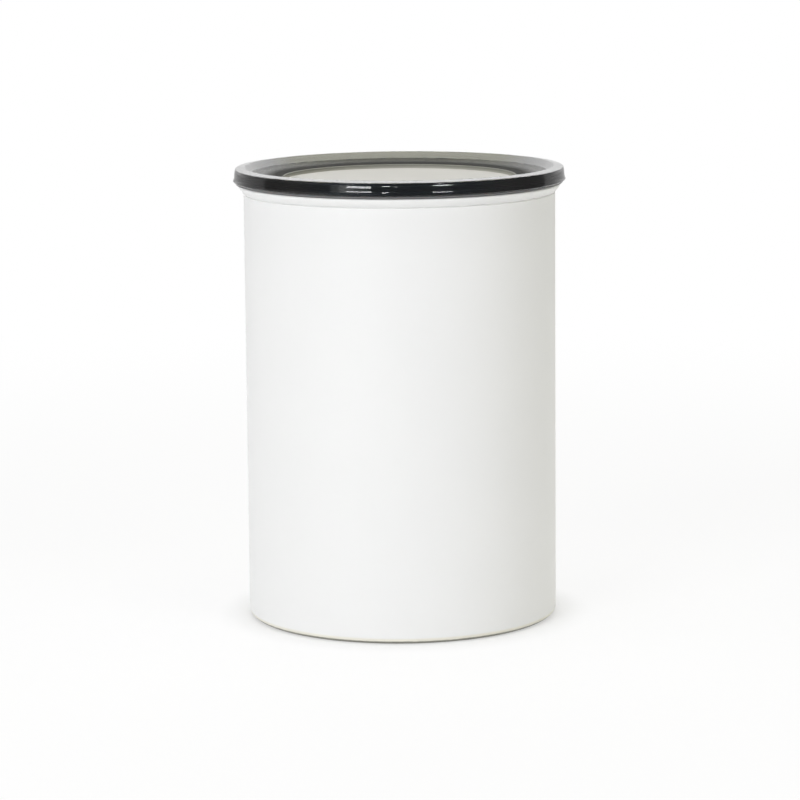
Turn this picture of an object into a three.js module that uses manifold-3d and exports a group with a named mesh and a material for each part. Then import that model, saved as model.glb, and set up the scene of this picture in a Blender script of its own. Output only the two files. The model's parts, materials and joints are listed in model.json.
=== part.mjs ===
// Press-down storage canister: a painted steel can, a smoked outer lid, and an inner lid that slides
// down onto the contents, with a wiper seal, a vent valve and a folding handle whose cam opens the valve.
// Millimetres, +Z up, origin at the centre of the underside. The front faces -Y.
import * as THREE from "three";
import { mergeVertices } from "three/addons/utils/BufferGeometryUtils.js";
import Module from "manifold-3d";

const wasm = await Module();
wasm.setup();

// Facets
const largeFacets = 48;
const mediumFacets = 24;
const smallFacets = 12;
const arcSteps = 4;

// Fits
const runningGap = 0.3;
const seatGap = 0.2;
const drillOvershoot = 1;

// Whole object
const overallHeight = 178;

// Can
const canRadius = 61;
const canWall = 0.8;
const footRadius = 3;
const hemWidth = 4;
const lipFlare = 2.15;
const lipBeadRadius = 0.5;
const lipCreaseDrop = 3.6;

// Base pan
const panWall = 0.8;
const panFlangeHeight = 1.4;
const panRaise = 1.3;
const panSeatWidth = 7;
const panSlopeWidth = 3;

// Outer lid
const lidOverhang = 1.9;
const lidRimHeight = 5.6;
const lidRimWidth = 4.5;
const lidTipTaper = 0.35;
const lidTipHeight = 0.35;
const lidWaistHeight = 2.65;
const lidWaistInset = 0.5;
const lidCrownInset = 0.84;
const lidCrownDrop = 0.45;
const lidCrownChamfer = 0.4;
const lidStepHeight = 2.1;
const lidStepLean = 2.1;
const lidShoulderWidth = 12.9;
const lidShoulderFall = 1.8;
const lidShoulderWall = 2.2;
const lidRecessDepth = 2.3;
const lidRecessWall = 1.6;
const lidPanelWall = 1.4;
const lidPlugWall = 1.8;
const lidPlugReach = 13;
const discWall = 0.6;
const lidSealWall = 0.6;
const lidSealInset = 1;

// Inner lid
const plateWall = 2;
const plateRoom = 5;
const valveRoomRadius = 11;
const shellFloorWall = 2.4;
const shellWall = 2.2;
const shellCover = 0.5;
const sealWidth = 4;
const sealHeight = 8.1;
const sealFlangeWall = 2;
const sealLipReach = 2.6;
const sealLipWall = 0.8;
const sealLipDepth = 1.9;
const sealLipRise = 2.1;
const guideFlangeWall = 2.2;
const guideFlangeClearance = 1;

// Plate screws
const screwCount = 4;
const screwInset = 13.4;
const screwRadius = 1.5;
const screwHeadRadius = 2.8;
const screwHeadHeight = 1.6;
const screwTipGap = 0.6;
const screwSlotWidth = 0.8;
const screwSlotDepth = 0.7;
const bossRadius = 3.6;
const bossFloor = 0.6;

// Vent valve
const stemRadius = 2;
const valveHeadRadius = 6.2;
const valveHeadWall = 1.8;
const valveTravel = 2.5;
const valveSealRadius = 8;
const valveSealWall = 1.5;
const valveSealBead = 0.5;
const clipRadius = 4.2;
const clipWall = 0.8;
const clipMouth = 2.6;
const stemTail = 0.6;
const ventCount = 6;
const ventRadius = 1.1;
const ventCircle = 5;
const housingWall = 2;
const valveHeadProud = 0.4;
const housingFlangeRadius = 11.5;
const housingFlangeWall = 1.4;

// Valve spring
const springTurns = 3.5;
const springWireRadius = 0.4;
const springCoilRadius = 4.3;
const springWireSides = 5;
const springStepsPerTurn = 12;

// Handle, lying flat towards +Y at rest
const pivotRise = 13.6;
const handleHeadroom = 1.9;
const handleReach = 31.5;
const handleWidth = 55;
const handleBand = 7;
const handleThickness = 6;
const handleCorner = 17.5;
const handleEdge = 1.2;
const eyeRadius = 4.2;
const eyeLength = 6.5;
const crossbarRadius = 3.2;
const camRadius = 4.5;
const camWidth = 6;
const camClearance = 0.7;
const camFallAngle = Math.PI / 3;
const camSteps = 12;

// Handle ears and pins
const earWall = 3;
const earRadius = 4.4;
const earFoot = 6;
const pinRadius = 2;
const pinEndWall = 1.5;
const pinHeadRadius = 3;
const pinHeadWall = 1;

// Places that follow from the sizes above
const canBore = canRadius - canWall;
const footCentre = canRadius - footRadius;
const lipRadius = canRadius + lipFlare;
const lidRimFloor = overallHeight - lidRimHeight;
const lidSealTop = lidRimFloor - seatGap;
const lidSealFloor = lidSealTop - lidSealWall;
const lipTop = lidSealFloor - runningGap;
const creaseHeight = lipTop - lipCreaseDrop;
const panFloor = canWall + runningGap;
const lidRadius = lipRadius + lidOverhang;
const lidPlugRadius = canBore - runningGap;
const lidLandInner = lidRadius - lidRimWidth;
const lidShoulderRadius = lidLandInner - lidStepLean;
const lidRecessRadius = lidShoulderRadius - lidShoulderWidth;
const lidRecessTop = overallHeight - lidStepHeight - lidShoulderFall;
const lidPanelTop = lidRecessTop - lidRecessDepth;
const lidPanelFloor = lidPanelTop - lidPanelWall;
const plateRimRadius = canBore - sealLipReach;
const shellWallRadius = canBore - sealWidth - 2 * runningGap;
const shellBore = shellWallRadius - shellWall;
const shellFloorHeight = plateWall + plateRoom;
const floorTop = shellFloorHeight + shellFloorWall;
const pivotHeight = floorTop + pivotRise;
const shellHeight = pivotHeight + handleThickness / 2 + shellCover;
const plungerRest = lidPanelFloor - handleHeadroom - handleReach - pivotHeight;
const screwCircle = shellBore - screwInset;
const bossTop = shellFloorHeight - seatGap;
const headTop = pivotHeight - camRadius - camClearance;
const headFloor = headTop - valveHeadWall;
const valveSealTop = shellFloorHeight - runningGap;
const valveSealFloor = valveSealTop - valveSealWall;
const clipTop = valveSealFloor - seatGap;
const stemFloor = clipTop - clipWall - stemTail;
const housingBore = valveHeadRadius + runningGap + seatGap;
const eyeOuter = handleWidth / 2;
const earInner = eyeOuter + runningGap;
const earOuter = earInner + earWall;
const pinEnd = eyeOuter - eyeLength + pinEndWall;
const bossRoot = plateWall / 2;
const pilotFloor = plateWall + bossFloor;

// Finishes
const finish = (color, roughness, metalness = 0, opacity = 1) =>
  new THREE.MeshStandardMaterial({ color, roughness, metalness, opacity, transparent: opacity < 1 });
const whitePaint = () => finish(0xf1f1ef, 0.55);
const bareSteel = () => finish(0xb9bbbd, 0.35, 1);
const smokedPlastic = () => finish(0x33342f, 0.08, 0, 0.7);
const blackPlastic = () => finish(0x1c1d1e, 0.5);
const greySilicone = () => finish(0x8d8f90, 0.7);
const handlePlastic = () => finish(0x26282a, 0.35);
const paleDisc = () => finish(0xcfcdc6, 0.6);

// A closed solid made from a geometry: its shared vertices are merged and its slivers dropped.
function solidOf(geometry) {
  const bare = geometry.index ? geometry.clone() : mergeVertices(geometry);
  bare.deleteAttribute("normal");
  bare.deleteAttribute("uv");
  const merged = mergeVertices(bare);
  const index = merged.index.array;
  const kept = [];
  for (let i = 0; i < index.length; i += 3) {
    const [a, b, c] = [index[i], index[i + 1], index[i + 2]];
    if (a !== b && b !== c && c !== a) kept.push(a, b, c);
  }
  const mesh = new wasm.Mesh({
    numProp: 3,
    vertProperties: merged.attributes.position.array,
    triVerts: new Uint32Array(kept),
  });
  return new wasm.Manifold(mesh);
}

function geometryOf(solid) {
  const mesh = solid.getMesh();
  return new THREE.BufferGeometry()
    .setAttribute("position", new THREE.BufferAttribute(mesh.vertProperties, 3))
    .setIndex(new THREE.BufferAttribute(mesh.triVerts, 1));
}

function piece(name, solid, material) {
  const geometry = geometryOf(solid);
  geometry.computeVertexNormals();
  const mesh = new THREE.Mesh(geometry, material);
  mesh.name = name;
  return mesh;
}

const joined = (solids) => solids.reduce((whole, next) => whole.add(next));
const cut = (solid, tools) => tools.reduce((whole, tool) => whole.subtract(tool), solid);

// Points of an arc in a turned profile, as [radius, height] pairs, from one angle to another in degrees.
function arc(centreRadius, centreHeight, radius, fromDegrees, toDegrees) {
  return Array.from({ length: arcSteps + 1 }, (_, i) => {
    const angle = THREE.MathUtils.degToRad(fromDegrees + ((toDegrees - fromDegrees) * i) / arcSteps);
    return [centreRadius + radius * Math.cos(angle), centreHeight + radius * Math.sin(angle)];
  });
}

// A solid of revolution about Z. The profile runs anticlockwise in the radius and height plane.
function turned(profile, facets, closed = true) {
  const points = profile.map(([radius, height]) => new THREE.Vector2(radius, height));
  if (closed) points.push(points[0].clone());
  return solidOf(new THREE.LatheGeometry(points, facets).rotateX(Math.PI / 2));
}

// A round bar along Z.
const rod = (radius, bottom, top, facets = smallFacets) =>
  turned([[0, bottom], [radius, bottom], [radius, top], [0, top]], facets, false);

// A round ring along Z.
const ring = (bore, radius, bottom, top, facets) =>
  turned([[bore, bottom], [radius, bottom], [radius, top], [bore, top]], facets);

const moved = (solid, x, y, z = 0) => solid.translate([x, y, z]);

// A round bar along X, at the height of the handle's pivot.
const crossRod = (radius, fromX, toX) =>
  moved(rod(radius, fromX, toX).rotate([0, 90, 0]), 0, 0, pivotHeight);

// A stretch of X on the left (-1) or right (1) side, in rising order.
const span = (side, from, to) => (side < 0 ? [-to, -from] : [from, to]);

const box = (width, depth, height) => solidOf(new THREE.BoxGeometry(width, depth, height));

// Places evenly spaced on a circle, as [x, y].
function around(count, radius, startAngle = 0) {
  return Array.from({ length: count }, (_, i) => {
    const angle = startAngle + (2 * Math.PI * i) / count;
    return [radius * Math.cos(angle), radius * Math.sin(angle)];
  });
}

// An outline drawn in the Y and Z plane, made into a slab of the given thickness centred on X = 0.
function slab(outline, thickness) {
  const geometry = new THREE.ExtrudeGeometry(outline, {
    depth: thickness,
    bevelEnabled: false,
    curveSegments: smallFacets,
  });
  geometry.translate(0, 0, -thickness / 2);
  const along = new THREE.Vector3(0, 1, 0);
  const up = new THREE.Vector3(0, 0, 1);
  const across = new THREE.Vector3(1, 0, 0);
  return solidOf(geometry.applyMatrix4(new THREE.Matrix4().makeBasis(along, up, across)));
}

// The can: hem, rounded foot, straight wall, crease, flared lip with a rounded bead, and the bore inside.
function canisterBody() {
  const beadCentre = lipRadius - lipBeadRadius;
  const beadHeight = lipTop - lipBeadRadius;
  const profile = [
    [footCentre - hemWidth, 0],
    ...arc(footCentre, footRadius, footRadius, -90, 0),
    [canRadius, creaseHeight],
    ...arc(beadCentre, beadHeight, lipBeadRadius, 0, 180),
    [canBore, creaseHeight],
    ...arc(footCentre, footRadius, footRadius - canWall, 0, -90),
    [footCentre - hemWidth, canWall],
  ];
  return turned(profile, largeFacets);
}

// The pressed bottom: a raised floor, a flat seat over the hem and a short flange up the wall.
function basePan() {
  const outerCorner = footRadius - canWall - runningGap;
  const innerCorner = outerCorner - panWall;
  const flangeTop = footRadius + panFlangeHeight;
  const slopeRadius = footCentre - panSeatWidth;
  const raiseRadius = slopeRadius - panSlopeWidth;
  const profile = [
    [0, panFloor + panRaise],
    [raiseRadius, panFloor + panRaise],
    [slopeRadius, panFloor],
    ...arc(footCentre, footRadius, outerCorner, -90, 0),
    [footCentre + outerCorner, flangeTop],
    [footCentre + innerCorner, flangeTop],
    ...arc(footCentre, footRadius, innerCorner, 0, -90),
    [slopeRadius, panFloor + panWall],
    [raiseRadius, panFloor + panRaise + panWall],
    [0, panFloor + panRaise + panWall],
  ];
  return turned(profile, largeFacets, false);
}

// The outer lid: sunken panel, sloped shoulder and step, falling land, waisted rim over the lip, and plug wall.
function outerLid() {
  const plugBore = lidPlugRadius - lidPlugWall;
  const plugFloor = overallHeight - lidPlugReach;
  const shoulderFloor = lidRecessTop - lidShoulderWall;
  const tipTop = lidRimFloor + lidTipHeight;
  const crownRadius = lidRadius - lidCrownInset;
  const crownTop = overallHeight - lidCrownDrop;
  const profile = [
    [0, lidPanelFloor],
    [lidRecessRadius + lidRecessWall, lidPanelFloor],
    [lidRecessRadius + lidRecessWall, shoulderFloor],
    [plugBore, shoulderFloor],
    [plugBore, plugFloor],
    [lidPlugRadius, plugFloor],
    [lidPlugRadius, lidRimFloor],
    [lidRadius - lidTipTaper, lidRimFloor],
    [lidRadius, tipTop],
    [lidRadius - lidWaistInset, tipTop + lidWaistHeight],
    [crownRadius, crownTop - lidCrownChamfer],
    [crownRadius - lidCrownChamfer, crownTop],
    [lidLandInner, overallHeight],
    [lidShoulderRadius, lidRecessTop + lidShoulderFall],
    [lidRecessRadius, lidRecessTop],
    [lidRecessRadius, lidPanelTop],
    [0, lidPanelTop],
  ];
  return turned(profile, largeFacets, false);
}

// The pale disc set into the lid's panel.
const lidDisc = () =>
  rod(lidRecessRadius - runningGap, lidPanelTop + seatGap, lidPanelTop + seatGap + discWall, largeFacets);

// The soft ring under the lid's rim, which lies over the can's lip.
const lidSeal = () =>
  ring(lidPlugRadius + runningGap, lidRadius - lidSealInset, lidSealFloor, lidSealTop, largeFacets);

// The lower plate of the inner lid: a disc open at the valve, a spigot for the seal, and screw bosses.
function plungerBasePlate() {
  const disc = ring(valveRoomRadius, plateRimRadius, 0, plateWall, largeFacets);
  const spigot = ring(shellBore, shellWallRadius, bossRoot, bossTop, largeFacets);
  const places = around(screwCount, screwCircle, Math.PI / 4);
  const bosses = places.map(([x, y]) => moved(rod(bossRadius, bossRoot, bossTop), x, y));
  const pilots = places.map(([x, y]) =>
    moved(rod(screwRadius + runningGap, pilotFloor, shellFloorHeight), x, y),
  );
  return cut(joined([disc, spigot, ...bosses]), pilots);
}

// An upright ear with a round top, which carries one handle pin.
function ear(side) {
  const root = floorTop - shellFloorWall / 2;
  const outline = new THREE.Shape();
  outline.moveTo(-earFoot, root);
  outline.lineTo(earFoot, root);
  outline.lineTo(earRadius, pivotHeight);
  outline.absarc(0, pivotHeight, earRadius, 0, Math.PI, false);
  outline.lineTo(-earFoot, root);
  return moved(slab(outline, earWall), side * (earInner + earWall / 2), 0);
}

// The upper moulding of the inner lid: floor, wall, two flanges, ears, and holes for screws and air.
function plungerShell() {
  const flangeFloor = plateWall + sealHeight + 2 * seatGap;
  const guideRadius = canBore - guideFlangeClearance;
  const dish = turned(
    [
      [0, shellFloorHeight],
      [shellWallRadius, shellFloorHeight],
      [shellWallRadius, flangeFloor],
      [plateRimRadius, flangeFloor],
      [plateRimRadius, flangeFloor + sealFlangeWall],
      [shellWallRadius, flangeFloor + sealFlangeWall],
      [shellWallRadius, shellHeight - guideFlangeWall],
      [guideRadius, shellHeight - guideFlangeWall],
      [guideRadius, shellHeight],
      [shellBore, shellHeight],
      [shellBore, floorTop],
      [0, floorTop],
    ],
    largeFacets,
    false,
  );
  const through = (radius) => rod(radius, shellFloorHeight - drillOvershoot, floorTop + drillOvershoot);
  const screwHoles = around(screwCount, screwCircle, Math.PI / 4).map(([x, y]) =>
    moved(through(screwRadius + runningGap), x, y),
  );
  const vents = around(ventCount, ventCircle).map(([x, y]) => moved(through(ventRadius), x, y));
  const pinBore = crossRod(pinRadius + runningGap, -earOuter - drillOvershoot, earOuter + drillOvershoot);
  const tools = [...screwHoles, ...vents, through(stemRadius + runningGap), pinBore];
  return cut(joined([dish, ear(-1), ear(1)]), tools);
}

// The wiper seal: a root clamped between the plates and two lips that reach out to the can's wall.
function wiperSeal() {
  const bore = shellWallRadius + runningGap;
  const bottom = plateWall + seatGap;
  const top = bottom + sealHeight;
  const tip = canBore - runningGap;
  const valley = tip - sealLipDepth;
  const profile = [
    [bore, bottom],
    [plateRimRadius, bottom],
    [tip, bottom],
    [tip, bottom + sealLipWall],
    [valley, bottom + sealLipRise],
    [valley, top - sealLipRise],
    [tip, top - sealLipWall],
    [tip, top],
    [plateRimRadius, top],
    [bore, top],
  ];
  return turned(profile, largeFacets);
}

// A pan-head screw with a crossed recess, standing at its own place.
function plateScrew() {
  const headFloorHeight = floorTop + seatGap;
  const headTopHeight = headFloorHeight + screwHeadHeight;
  const screw = turned(
    [
      [0, pilotFloor + screwTipGap],
      [screwRadius, pilotFloor + screwTipGap],
      [screwRadius, headFloorHeight],
      [screwHeadRadius, headFloorHeight],
      [screwHeadRadius, headTopHeight - screwHeadHeight / 2],
      [screwHeadRadius / 2, headTopHeight],
      [0, headTopHeight],
    ],
    smallFacets,
    false,
  );
  const slotLength = screwHeadRadius;
  const slot = (width, depth) => moved(box(width, depth, 2 * screwSlotDepth), 0, 0, headTopHeight);
  return cut(screw, [slot(slotLength, screwSlotWidth), slot(screwSlotWidth, slotLength)]);
}

// The flanged collar round the valve's head, which the air from the vents comes up through.
function valveHousing() {
  const bottom = floorTop + seatGap;
  const radius = housingBore + housingWall;
  const profile = [
    [housingBore, bottom],
    [housingFlangeRadius, bottom],
    [housingFlangeRadius, bottom + housingFlangeWall],
    [radius, bottom + housingFlangeWall],
    [radius, headTop - valveHeadProud],
    [housingBore, headTop - valveHeadProud],
  ];
  return turned(profile, mediumFacets);
}

// The valve's follower head and its stem in one turned piece.
function valveStem() {
  const profile = [
    [0, stemFloor],
    [stemRadius, stemFloor],
    [stemRadius, headFloor],
    [valveHeadRadius, headFloor],
    [valveHeadRadius, headTop],
    [0, headTop],
  ];
  return turned(profile, mediumFacets, false);
}

// The disc that closes the vents, with a thicker bead round its edge.
function valveSeal() {
  const bore = stemRadius + runningGap;
  const beadInner = valveSealRadius - 2 * valveSealBead;
  const profile = [
    [bore, valveSealFloor],
    [beadInner, valveSealFloor],
    [beadInner + valveSealBead, valveSealFloor - valveSealBead],
    [valveSealRadius, valveSealFloor],
    [valveSealRadius, valveSealTop],
    [bore, valveSealTop],
  ];
  return turned(profile, mediumFacets);
}

// The open ring that keeps the disc on its stem.
function valveClip() {
  const whole = ring(stemRadius + runningGap, clipRadius, clipTop - clipWall, clipTop, mediumFacets);
  const mouth = moved(box(clipMouth, 2 * clipRadius, 2 * clipWall), 0, -clipRadius, clipTop - clipWall / 2);
  return cut(whole, [mouth]);
}

// The coil of the valve's spring, from the floor of the shell to the underside of the valve's head.
class SpringCurve extends THREE.Curve {
  getPoint(share, target = new THREE.Vector3()) {
    const bottom = floorTop + seatGap + springWireRadius;
    const top = headFloor - seatGap - springWireRadius;
    const angle = 2 * Math.PI * springTurns * share;
    const radius = springCoilRadius;
    return target.set(radius * Math.cos(angle), radius * Math.sin(angle), bottom + (top - bottom) * share);
  }
}

// Least clear space between one turn of a coil and the next, measured on points along its wire.
function leastCoilGap(curve, turns, wireRadius) {
  const points = curve.getPoints(Math.round(turns * springStepsPerTurn));
  let least = Infinity;
  points.forEach((point, i) => {
    for (let j = i + springStepsPerTurn / 2; j < points.length; j += 1) {
      least = Math.min(least, point.distanceTo(points[j]) - 2 * wireRadius);
    }
  });
  return least;
}

function valveSpring() {
  const curve = new SpringCurve();
  const gap = leastCoilGap(curve, springTurns, springWireRadius);
  console.log("valve_spring least gap between turns, mm", gap.toFixed(2));
  const wire = new THREE.Shape();
  for (let i = 0; i < springWireSides; i += 1) {
    const angle = (2 * Math.PI * i) / springWireSides;
    const [x, y] = [springWireRadius * Math.cos(angle), springWireRadius * Math.sin(angle)];
    if (i === 0) wire.moveTo(x, y);
    else wire.lineTo(x, y);
  }
  const steps = Math.round(springTurns * springStepsPerTurn);
  return solidOf(new THREE.ExtrudeGeometry(wire, { steps, extrudePath: curve, bevelEnabled: false }));
}

// The cam's outline about the pivot: a steady rise over the handle's quarter turn, a fall, and a base circle.
function camOutline() {
  const quarter = Math.PI / 2;
  const outline = new THREE.Shape();
  const radiusAt = (angle) => {
    if (angle < quarter) return camRadius + valveTravel * (angle / quarter);
    const fall = Math.min((angle - quarter) / camFallAngle, 1);
    return camRadius + (valveTravel * (1 + Math.cos(Math.PI * fall))) / 2;
  };
  const count = 4 * camSteps;
  for (let i = 0; i < count; i += 1) {
    const angle = (2 * Math.PI * i) / count;
    const radius = radiusAt(angle);
    const y = -radius * Math.sin(angle);
    const z = -radius * Math.cos(angle);
    if (i === 0) outline.moveTo(y, pivotHeight + z);
    else outline.lineTo(y, pivotHeight + z);
  }
  return outline;
}

// The flat band of the bail, from one eye round to the other, with softened edges.
function bail() {
  const half = handleWidth / 2;
  const inner = half - handleBand;
  const innerCorner = handleCorner - handleBand;
  const cornerX = half - handleCorner;
  const cornerY = handleReach - handleCorner;
  const outline = new THREE.Shape();
  outline.moveTo(half, 0);
  outline.absarc(cornerX, cornerY, handleCorner, 0, Math.PI / 2, false);
  outline.absarc(-cornerX, cornerY, handleCorner, Math.PI / 2, Math.PI, false);
  outline.lineTo(-half, 0);
  outline.lineTo(-inner, 0);
  outline.absarc(-cornerX, cornerY, innerCorner, Math.PI, Math.PI / 2, true);
  outline.absarc(cornerX, cornerY, innerCorner, Math.PI / 2, 0, true);
  outline.lineTo(inner, 0);
  const geometry = new THREE.ExtrudeGeometry(outline, {
    depth: handleThickness - 2 * handleEdge,
    bevelEnabled: true,
    bevelThickness: handleEdge,
    bevelSize: handleEdge,
    bevelOffset: -handleEdge,
    bevelSegments: 2,
    curveSegments: arcSteps + 2,
  });
  return moved(solidOf(geometry), 0, 0, pivotHeight - handleThickness / 2 + handleEdge);
}

function handle() {
  const eyeInner = eyeOuter - eyeLength;
  const eyes = [-1, 1].map((side) => crossRod(eyeRadius, ...span(side, eyeInner, eyeOuter)));
  const crossbar = crossRod(crossbarRadius, -eyeOuter + eyeLength / 2, eyeOuter - eyeLength / 2);
  const cam = slab(camOutline(), camWidth);
  const boreEnd = pinEnd - runningGap;
  const bores = [-1, 1].map((side) => crossRod(pinRadius + runningGap, ...span(side, boreEnd, earOuter)));
  return cut(joined([bail(), ...eyes, crossbar, cam]), bores);
}

// A hinge pin: its shank goes through the ear into the handle's eye, and its head lies on the ear.
function handlePin(side) {
  const headInner = earOuter + seatGap;
  const headOuter = headInner + pinHeadWall;
  const shank = crossRod(pinRadius, ...span(side, pinEnd, headInner + pinHeadWall / 2));
  const head = crossRod(pinHeadRadius, ...span(side, headInner, headOuter));
  return shank.add(head);
}

function buildCanister() {
  const canister = new THREE.Group();
  canister.add(
    piece("canister_body", canisterBody(), whitePaint()),
    piece("base_pan", basePan(), bareSteel()),
    piece("outer_lid", outerLid(), smokedPlastic()),
    piece("lid_disc", lidDisc(), paleDisc()),
    piece("lid_seal", lidSeal(), greySilicone()),
  );

  const plunger = new THREE.Group();
  plunger.position.z = plungerRest;
  plunger.add(
    piece("plunger_base_plate", plungerBasePlate(), blackPlastic()),
    piece("plunger_shell", plungerShell(), blackPlastic()),
    piece("wiper_seal", wiperSeal(), greySilicone()),
    piece("valve_housing", valveHousing(), blackPlastic()),
    piece("valve_spring", valveSpring(), bareSteel()),
    piece("valve_stem", valveStem(), handlePlastic()),
    piece("valve_seal", valveSeal(), greySilicone()),
    piece("valve_clip", valveClip(), bareSteel()),
    piece("handle", handle(), handlePlastic()),
    piece("handle_pin_left", handlePin(-1), bareSteel()),
    piece("handle_pin_right", handlePin(1), bareSteel()),
  );
  around(screwCount, screwCircle, Math.PI / 4).forEach(([x, y], i) => {
    const screw = piece(`plate_screw_${i + 1}`, plateScrew(), bareSteel());
    screw.position.set(x, y, 0);
    plunger.add(screw);
  });
  canister.add(plunger);
  return canister;
}

export default buildCanister();
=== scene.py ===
import json
import math

import bmesh
import bpy
from mathutils import Matrix, Vector


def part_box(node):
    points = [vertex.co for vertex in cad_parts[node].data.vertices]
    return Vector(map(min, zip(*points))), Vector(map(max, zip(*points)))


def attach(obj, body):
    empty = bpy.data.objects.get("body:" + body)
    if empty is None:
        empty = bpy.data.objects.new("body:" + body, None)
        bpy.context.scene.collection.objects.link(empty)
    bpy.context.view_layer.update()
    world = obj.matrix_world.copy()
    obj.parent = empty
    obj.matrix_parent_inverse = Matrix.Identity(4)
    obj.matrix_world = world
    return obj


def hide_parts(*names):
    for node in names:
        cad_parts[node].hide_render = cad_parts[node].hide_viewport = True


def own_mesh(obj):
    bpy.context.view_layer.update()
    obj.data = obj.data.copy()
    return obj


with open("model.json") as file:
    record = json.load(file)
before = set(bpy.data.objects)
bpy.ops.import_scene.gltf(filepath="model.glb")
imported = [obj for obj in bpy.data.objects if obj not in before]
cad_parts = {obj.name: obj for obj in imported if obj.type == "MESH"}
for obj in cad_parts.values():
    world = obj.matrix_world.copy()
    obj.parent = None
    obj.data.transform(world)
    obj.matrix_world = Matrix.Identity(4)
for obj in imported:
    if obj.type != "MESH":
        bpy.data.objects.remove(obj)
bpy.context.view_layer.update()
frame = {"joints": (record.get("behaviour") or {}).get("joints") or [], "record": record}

# Sizes below are in millimetres, and become metres only where a mesh is made
MM = 0.001
TINY = 1e-6
TURN_STEPS = 192
SMALL_STEPS = 64
LID_STEPS = 256
CAM_STEPS = 96
LEG_STEPS = 6
CORNER_STEPS = 16
SPRING_STEPS = 40
WIRE_SIDES = 10
SHARP_ANGLE = math.radians(34)
STRAIGHT_ANGLE = math.radians(176)
CORNER_SHARE = 0.45
# Half a facet's turn, which keeps a small hole's corners off the edges of what it cuts
HALF_STEP = Matrix.Rotation(math.pi / SMALL_STEPS, 4, "Z")
# Stands a flat outline up: its width lies along Y and its thickness along X
UPRIGHT = Matrix(((0, 0, 1, 0), (1, 0, 0, 0), (0, 1, 0, 0), (0, 0, 0, 1)))

# The camera that took the picture
IMAGE_SIDE = 800
FOCAL_PIXELS = 3460
SENSOR_WIDTH = 36
CAMERA_PLACE = (-0.00047, -1.351, 0.3075)
CAMERA_PITCH = 9.355
CAMERA_ROLL = 0.5
CAMERA_FAR = 100

# Fits
RUNNING_GAP = 0.3
SEAT_GAP = 0.2

# Roundings of edges, from crisp to full
RECESS_EDGE = 0.1
CLIP_EDGE = 0.12
TRIM_EDGE = 0.15
CRISP_EDGE = 0.2
NEAT_EDGE = 0.25
FINE_EDGE = 0.3
EASED_EDGE = 0.4
SOFT_EDGE = 0.5
BROAD_EDGE = 0.6
ROUND_EDGE = 0.8
PLATE_EDGE = 0.9
VALLEY_EDGE = 1
FULL_EDGE = 1.2
DISH_EDGE = 2

# The imported record says which body each node rides on
record = frame["record"]
BODY_OF = {node: body for body, nodes in record["behaviour"]["bodies"].items() for node in nodes}


def low(node):
    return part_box(node)[0] / MM


def high(node):
    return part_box(node)[1] / MM


# Sizes read from the frame
LIP_RADIUS = high("canister_body").x
LIP_TOP = high("canister_body").z
LID_RADIUS = high("outer_lid").x
LID_TOP = high("outer_lid").z
PLUG_FLOOR = low("outer_lid").z
DISC_RADIUS = high("lid_disc").x
DISC_FLOOR = low("lid_disc").z
DISC_TOP = high("lid_disc").z
LID_SEAL_RADIUS = high("lid_seal").x
LID_SEAL_FLOOR = low("lid_seal").z
LID_SEAL_TOP = high("lid_seal").z
PAN_RADIUS = high("base_pan").x
PAN_FLANGE_TOP = high("base_pan").z
PLATE_FLOOR = low("plunger_base_plate").z
PLATE_RIM_RADIUS = high("plunger_base_plate").x
SHELL_FLOOR = low("plunger_shell").z
SHELL_TOP = high("plunger_shell").z
GUIDE_RADIUS = high("plunger_shell").x
SEAL_FLOOR = low("wiper_seal").z
SEAL_TOP = high("wiper_seal").z
SEAL_TIP = high("wiper_seal").x

# Sizes of the can
CAN_RADIUS = 61
CAN_WALL = 0.8
CAN_BORE = CAN_RADIUS - CAN_WALL
FOOT_RADIUS = 3
FOOT_CENTRE = CAN_RADIUS - FOOT_RADIUS
HEM_WIDTH = 4
LIP_BEAD_RADIUS = 0.5
LIP_CREASE = LIP_TOP - 3.6
CREASE_DEPTH = 0.6
CREASE_WIDTH = 0.3
FLARE_START = CAN_RADIUS + 0.15
FLARE_BORE = CAN_BORE + 0.05

# Sizes of the base pan
PAN_WALL = 0.8
PAN_FLOOR = CAN_WALL + RUNNING_GAP
PAN_RAISE = 1.3
PAN_SLOPE_RADIUS = FOOT_CENTRE - 7
PAN_RAISE_RADIUS = PAN_SLOPE_RADIUS - 3

# Sizes of the outer lid
LID_RIM_FLOOR = LID_SEAL_TOP + SEAT_GAP
LID_TIP_TAPER = 0.35
LID_TIP = LID_RIM_FLOOR + LID_TIP_TAPER
LID_WAIST = LID_TIP + 2.65
LID_WAIST_RADIUS = LID_RADIUS - 0.5
LID_CROWN_RADIUS = LID_RADIUS - 0.84
LID_CROWN_ROUND = 0.4
LID_CROWN_TOP = LID_TOP - 0.45
LOWER_LEAN = 0.3
UPPER_LEAN = 0.6
LID_LAND_INNER = LID_RADIUS - 4.5
LID_SHOULDER_RADIUS = LID_LAND_INNER - 2.5
LID_SHOULDER_TOP = LID_TOP - 2.5
LID_RECESS_RADIUS = LID_LAND_INNER - 15
LID_RECESS_TOP = LID_TOP - 3.9
LID_RECESS_CORNER = LID_RECESS_RADIUS + 1.6
LID_PANEL_TOP = LID_RECESS_TOP - 2.3
LID_PANEL_FLOOR = LID_PANEL_TOP - 1.4
LID_SHOULDER_FLOOR = LID_RECESS_TOP - 2.2
PLUG_RADIUS = CAN_BORE - RUNNING_GAP
PLUG_BORE = PLUG_RADIUS - 1.8

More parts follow.
